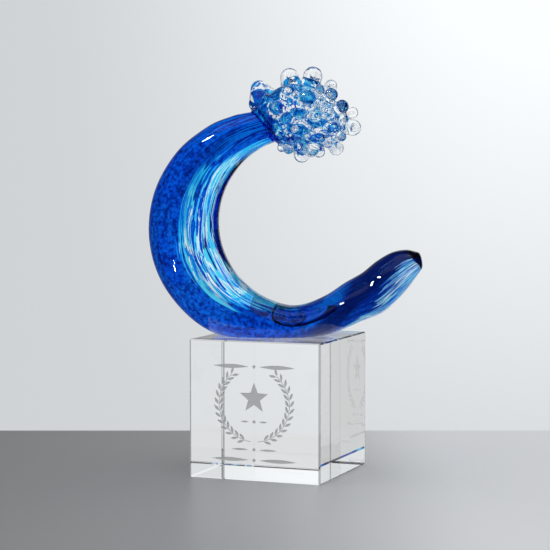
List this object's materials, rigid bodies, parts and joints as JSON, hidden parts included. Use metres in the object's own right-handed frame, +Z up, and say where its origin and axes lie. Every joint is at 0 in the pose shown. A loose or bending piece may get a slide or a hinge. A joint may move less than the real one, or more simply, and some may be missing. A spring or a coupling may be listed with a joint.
{
  "type": "glass wave sculpture",
  "caption": "Cased blue glass wave rising to a foam crest of clear prunts, bonded on a polished crystal cube with a laurel and star etched in its front face.",
  "frame": {"origin": "centre of the crystal cube's underside, on the table", "axes": "+Z up, -Y out of the etched front face, +X towards the wave's tail and the crest's nose"},
  "size_m": [0.1537, 0.0808, 0.2368],
  "materials": {
    "crystal": "polished, etched front",
    "adhesive": "clear",
    "clear_glass": "fire polished",
    "cobalt_glass": "mottled cobalt",
    "aqua_glass": "streaked aqua and white",
    "royal_blue_glass": "translucent blue",
    "prunt_glass": "fire polished, clear"
  },
  "bodies": {
    "root": {"crystal_cube": "crystal", "bond_film": "adhesive", "clear_core": "clear_glass", "blue_overlay": "cobalt_glass", "aqua_streak_layer": "aqua_glass", "clear_casing": "clear_glass", "neck_flare": "royal_blue_glass", "crest_core": "royal_blue_glass", "crest_gather": "clear_glass", "prunt_01": "prunt_glass", "prunt_02": "prunt_glass", "prunt_03": "prunt_glass", "prunt_04": "prunt_glass", "prunt_05": "prunt_glass", "prunt_06": "prunt_glass", "prunt_07": "prunt_glass", "prunt_08": "prunt_glass", "prunt_09": "prunt_glass", "prunt_10": "prunt_glass", "prunt_11": "prunt_glass", "prunt_12": "prunt_glass", "prunt_13": "prunt_glass", "prunt_14": "prunt_glass", "prunt_15": "prunt_glass", "prunt_16": "prunt_glass", "prunt_17": "prunt_glass", "prunt_18": "prunt_glass", "prunt_19": "prunt_glass", "prunt_20": "prunt_glass", "prunt_21": "prunt_glass", "prunt_22": "prunt_glass", "prunt_23": "prunt_glass", "prunt_24": "prunt_glass", "prunt_25": "prunt_glass", "prunt_26": "prunt_glass", "prunt_27": "prunt_glass", "prunt_28": "prunt_glass", "prunt_29": "prunt_glass", "prunt_30": "prunt_glass", "prunt_31": "prunt_glass", "prunt_32": "prunt_glass", "prunt_33": "prunt_glass", "prunt_34": "prunt_glass", "prunt_35": "prunt_glass", "prunt_36": "prunt_glass", "prunt_37": "prunt_glass", "prunt_38": "prunt_glass", "prunt_39": "prunt_glass", "prunt_40": "prunt_glass"}
  },
  "joints": []
}
